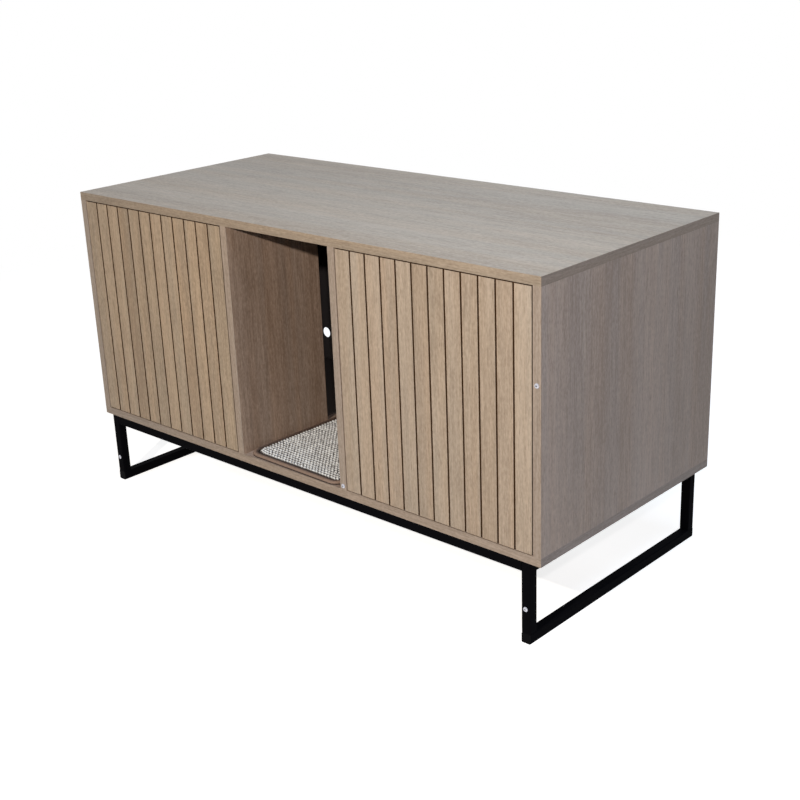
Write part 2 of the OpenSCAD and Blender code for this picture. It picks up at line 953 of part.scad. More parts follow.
module edge_screw_hole() {
    rod(shank_d / 2 + fit_gap, -cut, edge_screw_l + tip_room);
}

module edge_screws() {
    color(ZINC) {
        at_side_edge_screw() pan_screw(head_d, head_h, shank_d, edge_screw_l);
        at_divider_edge_screw() pan_screw(head_d, head_h, shank_d, edge_screw_l);
    }
}

// Places of one upright's cam locks or dowels, in the joint's own frame
module at_joint(joint, places) {
    translate([joint[0], 0, 0]) both_ends() for (y = places) translate([0, y, 0]) children();
}

// A cam lock: a disc in the upright's face that draws the bolt's head in
module cam_lock(face) {
    z0 = face > 0 ? board_t / 2 - cam_depth : -board_t / 2;
    difference() {
        translate([0, 0, -cam_setback]) along_x() rod(cam_d / 2, z0, z0 + cam_depth);
        rod(bolt_d / 2 + fit_gap, -cam_setback - bolt_head_low, 0);
        translate([0, 0, -cam_setback]) rotate([0, -face * 90, 0]) {
            cross_recess(cam_d / 2, -board_t / 2, cam_recess);
        }
    }
}

// A cam bolt: thread in the panel, stem, and the head in the cam lock
module cam_bolt() {
    rod(bolt_d / 2, 0, bolt_grip);
    rod(stem_d / 2, -cam_setback, 0);
    rod(bolt_d / 2, -cam_setback - bolt_head_low, -cam_setback + bolt_head_low);
}

module cam_locks() {
    color(ZINC) both_sides() for (joint = [SIDE_JOINT, DIVIDER_JOINT]) {
        at_joint(joint, joint[2]) cam_lock(joint[1]);
    }
}

module cam_bolts() {
    color(ZINC) both_sides() for (joint = [SIDE_JOINT, DIVIDER_JOINT]) at_joint(joint, joint[2]) cam_bolt();
}

module dowels() {
    color(BEECH) both_sides() for (joint = [SIDE_JOINT, DIVIDER_JOINT]) {
        at_joint(joint, joint[3]) rod(dowel_d / 2, dowel_grip - dowel_l, dowel_grip);
    }
}

module back_panel_screws() {
    color(ZINC) at_back_screws() pan_screw(back_head_d, back_head_h, back_screw_d, back_screw_l);
}

// Mat and liner

// A flat sheet with the mat's outline, drawn in from its edge
module mat_sheet(in, thick) {
    translate([0, front_y + mat_in + mat_l / 2, floor_z + lay_gap]) linear_extrude(thick) {
        rounded_rect(mat_w - 2 * in, mat_l - 2 * in, mat_round - in);
    }
}

module mat_field() {
    color(SISAL) mat_sheet(binding_w + lay_gap, mat_t);
}

module mat_binding() {
    color(BINDING) difference() {
        mat_sheet(0, binding_t);
        translate([0, 0, -cut]) mat_sheet(binding_w, binding_t + 2 * cut);
    }
}

// The liner on the left compartment's floor, behind the swing of the door's corner
module floor_liner() {
    color(RUBBER) block(
        [-side_x + liner_gap, pin_y + corner_swing + liner_front, floor_z + lay_gap],
        [-divider_x - liner_gap, back_y - liner_gap, floor_z + lay_gap + liner_t]
    );
}

top_panel();
bottom_panel();
left_side_panel();
right_side_panel();
left_divider();
right_divider();
back_panel();
top_edge_bands();
bottom_edge_bands();
upright_edge_bands();
left_door();
right_door();
pivot_plates();
pivot_pins();
pivot_screws();
left_door_bushes();
right_door_bushes();
left_latch_housing();
right_latch_housing();
left_latch_plunger();
right_latch_plunger();
left_latch_magnet();
right_latch_magnet();
left_latch_spring();
right_latch_spring();
latch_screws();
left_strike_plate();
right_strike_plate();
left_strike_screws();
right_strike_screws();
left_front_leg();
left_rear_leg();
right_front_leg();
right_rear_leg();
left_runner();
right_runner();
front_rail();
rear_rail();
left_side_bar();
right_side_bar();
leg_spigots();
leg_screws();
runner_end_caps();
frame_screws();
edge_screws();
cam_locks();
cam_bolts();
dowels();
back_panel_screws();
mat_field();
mat_binding();
floor_liner();
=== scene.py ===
import math

import bpy
import numpy as np
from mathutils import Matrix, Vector


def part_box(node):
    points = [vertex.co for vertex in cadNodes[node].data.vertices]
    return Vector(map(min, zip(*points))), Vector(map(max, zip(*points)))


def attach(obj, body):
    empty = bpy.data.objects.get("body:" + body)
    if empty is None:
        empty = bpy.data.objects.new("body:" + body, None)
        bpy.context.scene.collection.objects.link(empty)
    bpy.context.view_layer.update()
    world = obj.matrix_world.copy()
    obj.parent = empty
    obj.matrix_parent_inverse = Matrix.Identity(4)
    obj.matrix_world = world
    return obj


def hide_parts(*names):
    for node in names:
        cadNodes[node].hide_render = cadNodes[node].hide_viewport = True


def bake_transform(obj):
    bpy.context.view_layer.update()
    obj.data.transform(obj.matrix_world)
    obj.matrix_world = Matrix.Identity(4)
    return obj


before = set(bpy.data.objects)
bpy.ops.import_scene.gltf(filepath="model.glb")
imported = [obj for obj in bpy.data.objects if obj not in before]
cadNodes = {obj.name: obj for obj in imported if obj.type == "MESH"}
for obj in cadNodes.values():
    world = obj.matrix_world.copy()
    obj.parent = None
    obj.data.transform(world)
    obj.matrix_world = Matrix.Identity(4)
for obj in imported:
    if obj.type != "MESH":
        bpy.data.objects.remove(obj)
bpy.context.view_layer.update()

bpy.ops.object.select_all(action="DESELECT")
print("frame loaded:", len(cadNodes), "nodes")


# camera, at the photograph's place
cameraSetup = {
    "location": (1.7605, -1.8329, 1.1764),
    "turn": (1.215957, 0.036227, 0.738066),
    "lens": 59.226,
    "sensor": 36.0,
}


def makeCamera():
    bpy.ops.object.camera_add(location=cameraSetup["location"], rotation=cameraSetup["turn"])
    camera = bpy.context.object
    camera.name = "studioCamera"
    camera.data.lens = cameraSetup["lens"]
    camera.data.sensor_width = cameraSetup["sensor"]
    bpy.context.scene.camera = camera
    camera.select_set(False)


makeCamera()
print("camera placed")


# node helpers: a value given for a socket is another socket, a number, or a vector or colour of three
def addNode(tree, kind, inputs=None, **settings):
    made = tree.nodes.new("ShaderNode" + kind)
    for key, value in settings.items():
        setattr(made, key, value)
    for key, value in (inputs or {}).items():
        socket = made.inputs[key]
        if isinstance(value, bpy.types.NodeSocket):
            tree.links.new(value, socket)
        elif socket.type == "RGBA":
            socket.default_value = (*value, 1.0)
        else:
            socket.default_value = value
    return made


def calc(tree, operation, first, second=0.0, third=0.0):
    return addNode(tree, "Math", {0: first, 1: second, 2: third}, operation=operation).outputs[0]


def centred(tree, value):
    return calc(tree, "SUBTRACT", value, 0.5)


def parted(tree, vector):
    return addNode(tree, "SeparateXYZ", {0: vector}).outputs


def joined(tree, x, y, z):
    return addNode(tree, "CombineXYZ", {0: x, 1: y, 2: z}).outputs[0]


def grey(tree, level):
    return addNode(tree, "CombineColor", {0: level, 1: level, 2: level}).outputs[0]


def noise(tree, vector, waves, detail=2.0, roughness=0.5):
    stretched = addNode(tree, "VectorMath", {0: vector, 1: waves}, operation="MULTIPLY").outputs[0]
    return addNode(tree, "TexNoise", {
        "Vector": stretched, "Scale": 1.0, "Detail": detail, "Roughness": roughness,
    }).outputs["Fac"]


def ranged(tree, value, fromRange, toRange=(0.0, 1.0)):
    return addNode(tree, "MapRange", {
        "Value": value, "From Min": fromRange[0], "From Max": fromRange[1],
        "To Min": toRange[0], "To Max": toRange[1],
    }).outputs["Result"]


def blendColors(tree, factor, first, second, mode="MIX"):
    colors = {0: factor, 6: first, 7: second}
    return addNode(tree, "Mix", colors, data_type="RGBA", blend_type=mode).outputs[2]


def multiplied(tree, first, second):
    return blendColors(tree, 1.0, first, second, "MULTIPLY")


# how squarely the surface faces along an axis, either way
def facingAlong(tree, axis):
    normal = addNode(tree, "TexCoord").outputs["Normal"]
    return calc(tree, "ABSOLUTE", parted(tree, normal)[axis])


# node groups
socketKinds = {"vector": "NodeSocketVector", "color": "NodeSocketColor", "value": "NodeSocketFloat"}


def newGroup(name, inputs):
    tree = bpy.data.node_groups.new(name, "ShaderNodeTree")
    for label, kind in inputs.items():
        tree.interface.new_socket(label, in_out="INPUT", socket_type=socketKinds[kind])
    for label, kind in (("Color", "color"), ("Height", "value"), ("Roughness", "value")):
        tree.interface.new_socket(label, in_out="OUTPUT", socket_type=socketKinds[kind])
    return tree, tree.nodes.new("NodeGroupInput").outputs


def closeGroup(tree, color, height, roughness):
    wanted = tree.nodes.new("NodeGroupOutput").inputs
    tree.links.new(color, wanted["Color"])
    tree.links.new(height, wanted["Height"])
    tree.links.new(roughness, wanted["Roughness"])
    return tree


# waves a metre across the grain and along it, then detail and weight
grainLayers = {
    "zones": (12, 0.7, 1.0, 1.0),
    "streaks": (80, 3.5, 1.5, 0.7),
    "lines": (300, 12, 2.0, 1.3),
    "strokes": (330, 130, 1.0, 1.1),
    "fibres": (1100, 60, 1.0, 0.8),
}
grainSetup = {
    "layerRoughness": 0.6,
    "swayWaves": (16, 16, 2.4),
    "tintWaves": (34, 34, 0.9),
    "tintRange": (0.35, 0.65),
    "coolTint": (0.975, 1.0, 1.03),
    "warmTint": (1.025, 0.995, 0.965),
    "poreWaves": (800, 800, 42.0),
    "poreRange": (0.62, 0.74),
    "streakRange": (0.45, 0.62),  # streaks that are rich in pores
    "streakPores": 0.6,
    "leastPores": 0.15,
    "lineHeight": 0.5,
    "roughness": 0.42,
    "roughnessSpread": 0.14,
}


# oak grain that runs along the vector's Z
def makeOakGrain(setup):
    tree, given = newGroup("oakGrain", {
        "Vector": "vector", "Light": "color", "Dark": "color", "Pore": "color",
        "Figure": "value", "Contrast": "value",
    })
    x, y, z = parted(tree, given["Vector"])
    sway = centred(tree, noise(tree, given["Vector"], setup["swayWaves"], detail=1.0))
    sway = calc(tree, "MULTIPLY", sway, given["Figure"])
    bent = joined(tree, calc(tree, "ADD", x, sway), calc(tree, "ADD", y, sway), z)
    tone = 0.0
    layers = {}
    for label, (across, along, detail, weight) in grainLayers.items():
        layers[label] = noise(tree, bent, (across, across, along), detail, setup["layerRoughness"])
        tone = calc(tree, "MULTIPLY_ADD", centred(tree, layers[label]), weight, tone)
    tone = calc(tree, "MULTIPLY_ADD", tone, given["Contrast"], 0.5)
    tone = addNode(tree, "Clamp", {0: tone}).outputs[0]
    color = blendColors(tree, tone, given["Dark"], given["Light"])
    warmth = ranged(tree, noise(tree, bent, setup["tintWaves"], detail=1.0), setup["tintRange"])
    color = multiplied(tree, color, blendColors(tree, warmth, setup["coolTint"], setup["warmTint"]))
    pores = ranged(tree, noise(tree, bent, setup["poreWaves"], detail=1.0), setup["poreRange"])
    amount = ranged(tree, layers["streaks"], setup["streakRange"])
    amount = calc(tree, "MULTIPLY_ADD", amount, setup["streakPores"], setup["leastPores"])
    pores = calc(tree, "MULTIPLY", pores, amount)
    color = blendColors(tree, pores, color, given["Pore"])
    height = calc(tree, "SUBTRACT", calc(tree, "MULTIPLY", layers["lines"], setup["lineHeight"]), pores)
    rough = calc(tree, "MULTIPLY_ADD", layers["streaks"], setup["roughnessSpread"], setup["roughness"])
    return closeGroup(tree, color, height, rough)


speckleSetup = {
    "detail": 2.0,
    "cloudWaves": (9, 9, 9),
    "range": (0.3, 0.7),
    "fineShare": 0.6,
    "cloudShare": 0.4,
    "roughnessSpread": 0.12,
}


# fine speckle for powder coat, moulded plastic, rubber and plated metal
def makeFineGrain(setup):
    tree, given = newGroup("fineGrain", {
        "Vector": "vector", "Light": "color", "Dark": "color", "Size": "value", "Roughness": "value",
    })
    fine = addNode(tree, "TexNoise", {
        "Vector": given["Vector"], "Scale": given["Size"], "Detail": setup["detail"],
    }).outputs["Fac"]
    cloud = noise(tree, given["Vector"], setup["cloudWaves"])
    mixed = calc(tree, "ADD", ranged(tree, fine, setup["range"], (0.0, setup["fineShare"])),
                 ranged(tree, cloud, setup["range"], (0.0, setup["cloudShare"])))
    color = blendColors(tree, mixed, given["Dark"], given["Light"])
    rough = calc(tree, "MULTIPLY_ADD", centred(tree, mixed), setup["roughnessSpread"], given["Roughness"])
    return closeGroup(tree, color, fine, rough)


oakGrain = makeOakGrain(grainSetup)
fineGrain = makeFineGrain(speckleSetup)
print("node groups made")


# materials
def newMaterial(name, gloss, metal=0.0):
    material = bpy.data.materials.new(name)
    material.use_nodes = True
    tree = material.node_tree
    shader = tree.nodes["Principled BSDF"]
    shader.inputs["Specular IOR Level"].default_value = gloss
    shader.inputs["Metallic"].default_value = metal
    return material, tree, shader


# bump is its strength, and its depth in metres
def wire(tree, shader, color, roughness, height, bump):
    tree.links.new(color, shader.inputs["Base Color"])
    tree.links.new(roughness, shader.inputs["Roughness"])
    relief = addNode(tree, "Bump", {"Strength": bump[0], "Distance": bump[1], "Height": height})
    tree.links.new(relief.outputs["Normal"], shader.inputs["Normal"])


def objectPlace(tree, turn, shift):
    place = addNode(tree, "TexCoord").outputs["Object"]
    return addNode(tree, "Mapping", {"Vector": place, "Rotation": turn, "Location": shift}).outputs[0]


def placeOakGrain(tree, vector, tones, figure, contrast):
    return addNode(tree, "Group", {
        "Vector": vector, "Light": tones["light"], "Dark": tones["dark"], "Pore": tones["pore"],
        "Figure": figure, "Contrast": contrast,
    }, node_tree=oakGrain).outputs


def placeFineGrain(tree, light, dark, size, roughness):
    return addNode(tree, "Group", {
        "Vector": addNode(tree, "TexCoord").outputs["Object"], "Light": light, "Dark": dark,
        "Size": size, "Roughness": roughness,
    }, node_tree=fineGrain).outputs


woodTones = {
    "top": {"light": (0.436, 0.374, 0.312), "dark": (0.247, 0.202, 0.164), "pore": (0.18, 0.135, 0.10)},
    "board": {"light": (0.474, 0.376, 0.320), "dark": (0.268, 0.203, 0.168), "pore": (0.18, 0.13, 0.09)},
    "inner": {"light": (0.433, 0.322, 0.250), "dark": (0.245, 0.174, 0.131), "pore": (0.17, 0.115, 0.08)},
    "edge": {"light": (0.393, 0.322, 0.249), "dark": (0.227, 0.178, 0.130), "pore": (0.17, 0.12, 0.085)},
    "lowEdge": {"light": (0.430, 0.355, 0.296), "dark": (0.248, 0.196, 0.155), "pore": (0.17, 0.12, 0.085)},
    "upright": {"light": (0.438, 0.358, 0.296), "dark": (0.253, 0.198, 0.155), "pore": (0.17, 0.12, 0.085)},
    # painted light: the left door's tones are a warmer, slightly darker copy of the right door's, for the
    # cool light that falls less on the left door
    "leftDoorPaintedWarm": {"light": (0.486, 0.379, 0.272), "dark": (0.280, 0.210, 0.144), "pore": (0.19, 0.13, 0.08)},
    "rightDoor": {"light": (0.496, 0.406, 0.321), "dark": (0.286, 0.225, 0.169), "pore": (0.2, 0.14, 0.095)},
    "beech": {"light": (0.62, 0.44, 0.27), "dark": (0.50, 0.34, 0.20), "pore": (0.38, 0.24, 0.13)},
}
woodSetup = {
    "gloss": 0.5,
    "bump": (0.12, 0.0002),
    "turns": {"x": (0.0, math.pi / 2, 0.0), "y": (math.pi / 2, 0.0, 0.0), "z": (0.0, 0.0, 0.0)},
}


def oakBoard(name, along, tones, shift, contrast=1.0, figure=0.012):
    material, tree, shader = newMaterial(name, woodSetup["gloss"])
    vector = objectPlace(tree, woodSetup["turns"][along], shift)
    grain = placeOakGrain(tree, vector, tones, figure, contrast)
    wire(tree, shader, grain["Color"], grain["Roughness"], grain["Height"], woodSetup["bump"])
    return material


bandSetup = {
    "figure": 0.004,
    "contrast": 1.1,
    # painted shade: the end strips are darker and cooler than the front ones, for the dimmer, cooler light
    # on the sides
    "paintedEndShade": (0.79, 0.77, 0.83),
}


# strips on the end edges run along Y, those in front along X
def oakBand(name, tones, shift):
    material, tree, shader = newMaterial(name, woodSetup["gloss"])
    onEnd = calc(tree, "GREATER_THAN", facingAlong(tree, 0), 0.5)
    vector = addNode(tree, "Mix", {
        0: onEnd,
        4: objectPlace(tree, woodSetup["turns"]["x"], shift),
        5: objectPlace(tree, woodSetup["turns"]["y"], shift),
    }, data_type="VECTOR").outputs[1]
    grain = placeOakGrain(tree, vector, tones, bandSetup["figure"], bandSetup["contrast"])
    # painted shade on the end strips
    shade = blendColors(tree, onEnd, (1.0, 1.0, 1.0), bandSetup["paintedEndShade"])
    color = multiplied(tree, grain["Color"], shade)
    wire(tree, shader, color, grain["Roughness"], grain["Height"], woodSetup["bump"])
    return material


doorFace = {
    "slats": 12,
    "cutsWider": 0.00032,  # the row of cuts is painted this much wider than the door
    "cutHalf": 0.001817,  # painted a little past the groove's walls onto the face, as painted shade
    "cutDepth": 0.0032,
    # the brown of the board's core, made darker to carry the painted shade of the grooves and gaps
    "shadedFibre": (0.056, 0.029, 0.014),
    "fibreWaves": (900, 900, 260),
    "fibreShades": (0.7, 1.5),
    "fibreRoughness": 0.85,
    "fibreGloss": 0.05,
    "grainJumps": (3.0, 5.0),
    "figure": 0.004,
    "figureSpread": 0.030,
    "greyTint": (0.970, 0.998, 1.02),
    "warmTint": (1.030, 0.990, 0.955),
    "toneSpread": 0.09,
    # painted shade of the gaps beside the door, on its upright edges
    "gapShade": 0.55,
}


# three chances of its own for each slat
def slatChances(tree, step, seed):
    slat = calc(tree, "ADD", calc(tree, "FLOOR", step), seed)
    own = addNode(tree, "TexWhiteNoise", {"W": slat}, noise_dimensions="1D").outputs["Color"]
    return addNode(tree, "SeparateColor", {0: own}).outputs


# each slat has a tone of its own, from warm to grey
def slatTone(tree, chances):
    tint = blendColors(tree, chances[0], doorFace["greyTint"], doorFace["warmTint"])
    spread = doorFace["toneSpread"]
    level = calc(tree, "MULTIPLY_ADD", chances[1], spread, 1.0 - spread / 2)
    return multiplied(tree, tint, grey(tree, level))


# the grooves show the brown of the board's core, darkened as painted shade and painted a little onto the
# face; the top and bottom edges get the same dark brown as painted shade of the gaps above and below the
# door
def fibreAndShadeMask(tree, step, y, pitch, frontY):
    fromCut = calc(tree, "ABSOLUTE", calc(tree, "SUBTRACT", step, calc(tree, "ROUND", step)))
    near = calc(tree, "LESS_THAN", fromCut, doorFace["cutHalf"] / pitch)
    inner = calc(tree, "MULTIPLY", calc(tree, "GREATER_THAN", step, 0.5),
                 calc(tree, "LESS_THAN", step, doorFace["slats"] - 0.5))
    shallow = calc(tree, "LESS_THAN", y, frontY + doorFace["cutDepth"])
    groove = calc(tree, "MULTIPLY", calc(tree, "MULTIPLY", near, inner), shallow)
    return calc(tree, "MAXIMUM", groove, calc(tree, "GREATER_THAN", facingAlong(tree, 2), 0.5))


def oakDoor(name, node, tones, seed, contrast, variety):
    low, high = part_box(node)
    pitch = (high.x - low.x + doorFace["cutsWider"]) / doorFace["slats"]
    material, tree, shader = newMaterial(name, woodSetup["gloss"])
    place = addNode(tree, "TexCoord").outputs["Object"]
    x, y, z = parted(tree, place)
    step = calc(tree, "DIVIDE", calc(tree, "SUBTRACT", x, low.x), pitch)
    chances = slatChances(tree, step, seed)
    jumpX, jumpZ = doorFace["grainJumps"]
    moved = joined(tree, calc(tree, "MULTIPLY_ADD", chances[0], jumpX, x), y,
                   calc(tree, "MULTIPLY_ADD", chances[1], jumpZ, z))
    figure = calc(tree, "MULTIPLY_ADD", chances[2], doorFace["figureSpread"], doorFace["figure"])
    grain = placeOakGrain(tree, moved, tones, figure, contrast)
    color = blendColors(tree, variety, grain["Color"], slatTone(tree, chances), "MULTIPLY")
    # painted shade: the upright edges are darkened for the shade in the narrow gaps beside the door
    onEdge = calc(tree, "GREATER_THAN", facingAlong(tree, 0), 0.5)
    color = blendColors(tree, onEdge, color, multiplied(tree, color, (doorFace["gapShade"],) * 3))
    fibreAndShade = fibreAndShadeMask(tree, step, y, pitch, low.y)
    fleck = noise(tree, place, doorFace["fibreWaves"])
    darker, lighter = ([shade * part for part in doorFace["shadedFibre"]] for shade in doorFace["fibreShades"])
    color = blendColors(tree, fibreAndShade, color, blendColors(tree, fleck, darker, lighter))
    cutRough = calc(tree, "MULTIPLY", fibreAndShade, doorFace["fibreRoughness"])
    rough = calc(tree, "MAXIMUM", grain["Roughness"], cutRough)
    gloss = ranged(tree, fibreAndShade, (0.0, 1.0), (woodSetup["gloss"], doorFace["fibreGloss"]))
    tree.links.new(gloss, shader.inputs["Specular IOR Level"])
    wire(tree, shader, color, rough, grain["Height"], woodSetup["bump"])
    return material


speckleBump = (0.15, 0.0002)


def speckled(name, light, dark, size, roughness, gloss=0.5, metal=0.0, bump=speckleBump):
    material, tree, shader = newMaterial(name, gloss, metal)
    grain = placeFineGrain(tree, light, dark, size, roughness)
    wire(tree, shader, grain["Color"], grain["Roughness"], grain["Height"], bump)
    return material


zincSetup = {
    "light": (0.66, 0.65, 0.70),
    "dark": (0.50, 0.50, 0.55),
    "size": 500,
    "roughness": 0.3,
    "headRoughness": 0.42,
    "gloss": 0.5,
    # painted shade for the hollow of the cross in each head
    "recess": (0.035, 0.033, 0.036),
    # where the painted shade goes, in parts of the head's height: reach of the hollow's walls, place of its
    # bottom, slack
    "wallReach": 0.49,
    "bottomPlace": 0.6,
    "bottomSlack": 0.06,
}
# axis of the screws, ends that have heads, height of a head
crossHeads = {
    "edge_screws": (1, "low", 0.0024),
    "leg_screws": (1, "both", 0.0024),
    "frame_screws": (2, "low", 0.0024),
    "back_panel_screws": (1, "high", 0.0016),
}


# plated steel, with painted shade in the cross-shaped hollow of each head
def screwFinish(node, axis, ends, height):
    low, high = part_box(node)
    material, tree, shader = newMaterial("zinc_" + node, zincSetup["gloss"], metal=1.0)
    grain = placeFineGrain(
        tree, zincSetup["light"], zincSetup["dark"], zincSetup["size"], zincSetup["headRoughness"])
    along = parted(tree, addNode(tree, "TexCoord").outputs["Object"])[axis]
    fromLow = calc(tree, "SUBTRACT", along, low[axis])
    fromHigh = calc(tree, "SUBTRACT", high[axis], along)
    depth = {"low": fromLow, "high": fromHigh, "both": calc(tree, "MINIMUM", fromLow, fromHigh)}[ends]
    facing = facingAlong(tree, axis)
    wall = calc(tree, "MULTIPLY", calc(tree, "LESS_THAN", facing, 0.1),
                calc(tree, "LESS_THAN", depth, zincSetup["wallReach"] * height))
    atBottom = calc(
        tree, "COMPARE", depth, zincSetup["bottomPlace"] * height, zincSetup["bottomSlack"] * height)
    bottom = calc(tree, "MULTIPLY", calc(tree, "GREATER_THAN", facing, 0.9), atBottom)
    color = blendColors(tree, calc(tree, "MAXIMUM", wall, bottom), grain["Color"], zincSetup["recess"])
    wire(tree, shader, color, grain["Roughness"], grain["Height"], speckleBump)
    return material


# finishes for the slots of the CAD nodes; a shift gives each board grain of its own
finishes = {
    "oak_board": oakBoard("oakBoardUpright", "z", woodTones["board"], shift=(0.3, 1.7, 0.4), contrast=1.15),
    "oak_edge": oakBand("oakBandLevel", woodTones["edge"], shift=(2.1, 0.6, 1.2)),
    "beech": oakBoard("beechDowel", "y", woodTones["beech"], shift=(0, 0, 0), contrast=0.8),
    "black_board": speckled(
        "blackHardboard", light=(0.110, 0.098, 0.094), dark=(0.088, 0.078, 0.075),
        size=700, roughness=0.6, gloss=0.03),
    "black_steel": speckled(
        "blackPowderCoat", light=(0.0046, 0.0046, 0.0060), dark=(0.0030, 0.0030, 0.0040),
        size=1500, roughness=0.6, gloss=0.006),
    "zinc_steel": speckled(
        "brightZinc", light=zincSetup["light"], dark=zincSetup["dark"],
        size=zincSetup["size"], roughness=zincSetup["roughness"], metal=1.0),
    "zinc_casting": speckled(
        "dullZinc", light=(0.60, 0.61, 0.63), dark=(0.46, 0.47, 0.50), size=900, roughness=0.5, metal=1.0),
    "grey_plastic": speckled(
        "greyPlastic", light=(0.19, 0.20, 0.21), dark=(0.16, 0.165, 0.175), size=1800, roughness=0.55),
    "nylon": speckled(
        "naturalNylon", light=(0.62, 0.61, 0.56), dark=(0.56, 0.55, 0.50), size=1400, roughness=0.42),
    "black_plastic": speckled(
        "blackPlastic", light=(0.0060, 0.0060, 0.0070), dark=(0.0040, 0.0040, 0.0048),
        size=1800, roughness=0.6, gloss=0.02),
    "magnet": speckled(
        "nickelPlate", light=(0.66, 0.64, 0.60), dark=(0.56, 0.55, 0.52),
        size=300, roughness=0.22, metal=1.0),
}
# nodes with a finish of their own
ownFinish = {
    "top_panel": oakBoard(
        "oakTop", "x", woodTones["top"], shift=(0.9, 0.2, 2.3), contrast=1.15, figure=0.02),
    "bottom_panel": oakBoard("oakBottom", "x", woodTones["board"], shift=(1.9, 0.7, 0.3)),
    "left_divider": oakBoard(
        "oakLeftDivider", "z", woodTones["inner"], shift=(1.2, 0.4, 1.1), contrast=1.25),
    "right_divider": oakBoard(
        "oakRightDivider", "z", woodTones["inner"], shift=(2.2, 1.4, 0.6), contrast=1.25),
    "left_side_panel": oakBoard(
        "oakLeftSide", "z", woodTones["board"], shift=(0.1, 2.6, 1.6), contrast=1.15),
    "bottom_edge_bands": oakBand("oakBandLow", woodTones["lowEdge"], shift=(1.4, 2.2, 0.8)),
    "upright_edge_bands": oakBoard(
        "oakBandUpright", "z", woodTones["upright"], shift=(0.5, 0.1, 0.9), figure=0.004),
    "left_door": oakDoor(
        "oakLeftDoor", "left_door", woodTones["leftDoorPaintedWarm"], seed=7.0, contrast=1.35, variety=0.6),
    "right_door": oakDoor(
        "oakRightDoor", "right_door", woodTones["rightDoor"], seed=40.0, contrast=1.0, variety=1.0),
}
for name, head in crossHeads.items():
    ownFinish[name] = screwFinish(name, *head)

# the mat's nodes and the liner's, which soft pieces replace, keep what they have
for name, node in cadNodes.items():
    for place in node.material_slots:
        finish = ownFinish.get(name) or finishes.get(place.material.name.split(".")[0])
        if finish:
            place.material = finish
print("materials on the CAD nodes")


# soft pieces
clothSetup = {
    "gloss": 0.3,
    "strandDetail": 3.0,
    "strandRoughness": 0.6,
    "strandWeight": 1.8,
    "lumpWaves": (260, 260, 260),
    "lumpWeight": 0.8,
    "roughnessSpread": -0.1,
}


# the attribute named here makes the cloth lighter or darker: its own tone, with painted shade and painted
# highlight
def clothMaterial(name, light, dark, waves, roughness, bump, toneAndShadeName=None):
    material, tree, shader = newMaterial(name, clothSetup["gloss"])
    place = addNode(tree, "TexCoord").outputs["Object"]
    strands = noise(tree, place, waves, clothSetup["strandDetail"], clothSetup["strandRoughness"])
    lumps = noise(tree, place, clothSetup["lumpWaves"])
    mixed = calc(tree, "MULTIPLY_ADD", centred(tree, strands), clothSetup["strandWeight"], 0.5)
    mixed = calc(tree, "MULTIPLY_ADD", centred(tree, lumps), clothSetup["lumpWeight"], mixed)
    if toneAndShadeName:
        tone = addNode(tree, "Attribute", attribute_name=toneAndShadeName).outputs["Fac"]
        mixed = calc(tree, "ADD", mixed, centred(tree, tone))
    mixed = addNode(tree, "Clamp", {0: mixed}).outputs[0]
    rough = calc(tree, "MULTIPLY_ADD", mixed, clothSetup["roughnessSpread"], roughness)
    wire(tree, shader, blendColors(tree, mixed, dark, light), rough, strands, bump)
    return material


def finishPiece(piece, name, material):
    piece.name = name
    piece.data.name = name
    piece.data.materials.clear()
    piece.data.materials.append(material)
    piece.select_set(False)


# a point of a rectangle, drawn in where a corner is rounded
def roundedPoint(x, y, halfX, halfY, radius):
    overX, overY = abs(x) - (halfX - radius), abs(y) - (halfY - radius)
    if overX <= 0 or overY <= 0:
        return x, y
    u, v = overX / radius, overY / radius
    roundX, roundY = u * math.sqrt(1 - v * v / 2), v * math.sqrt(1 - u * u / 2)
    return (math.copysign(halfX - radius + roundX * radius, x),
            math.copysign(halfY - radius + roundY * radius, y))


sheetSetup = {
    "rimSegments": 3,
    "rimAngle": 60,
    "smoothAngle": 40,
}


# a flat grid on the box's floor, with a radius for its left and one for its right corners
def flatSheet(low, high, radii, cells):
    centre = (low + high) / 2
    halfX, halfY = (high.x - low.x) / 2, (high.y - low.y) / 2
    bpy.ops.mesh.primitive_grid_add(x_subdivisions=cells[0], y_subdivisions=cells[1], size=1)
    piece = bpy.context.object
    for vertex in piece.data.vertices:
        x, y = vertex.co.x * 2 * halfX, vertex.co.y * 2 * halfY
        x, y = roundedPoint(x, y, halfX, halfY, radii[x > 0])
        vertex.co = (centre.x + x, centre.y + y, low.z)
    return piece


def thicken(piece, thickness, rim=0.0):
    bpy.context.view_layer.objects.active = piece
    solid = piece.modifiers.new("thickness", "SOLIDIFY")
    solid.thickness = thickness
    solid.offset = 1.0
    bpy.ops.object.modifier_apply(modifier=solid.name)
    if rim:
        soft = piece.modifiers.new("rim", "BEVEL")
        soft.width = rim
        soft.segments = sheetSetup["rimSegments"]
        soft.angle_limit = math.radians(sheetSetup["rimAngle"])
        bpy.ops.object.modifier_apply(modifier=soft.name)
    bpy.ops.object.shade_smooth_by_angle(angle=math.radians(sheetSetup["smoothAngle"]))


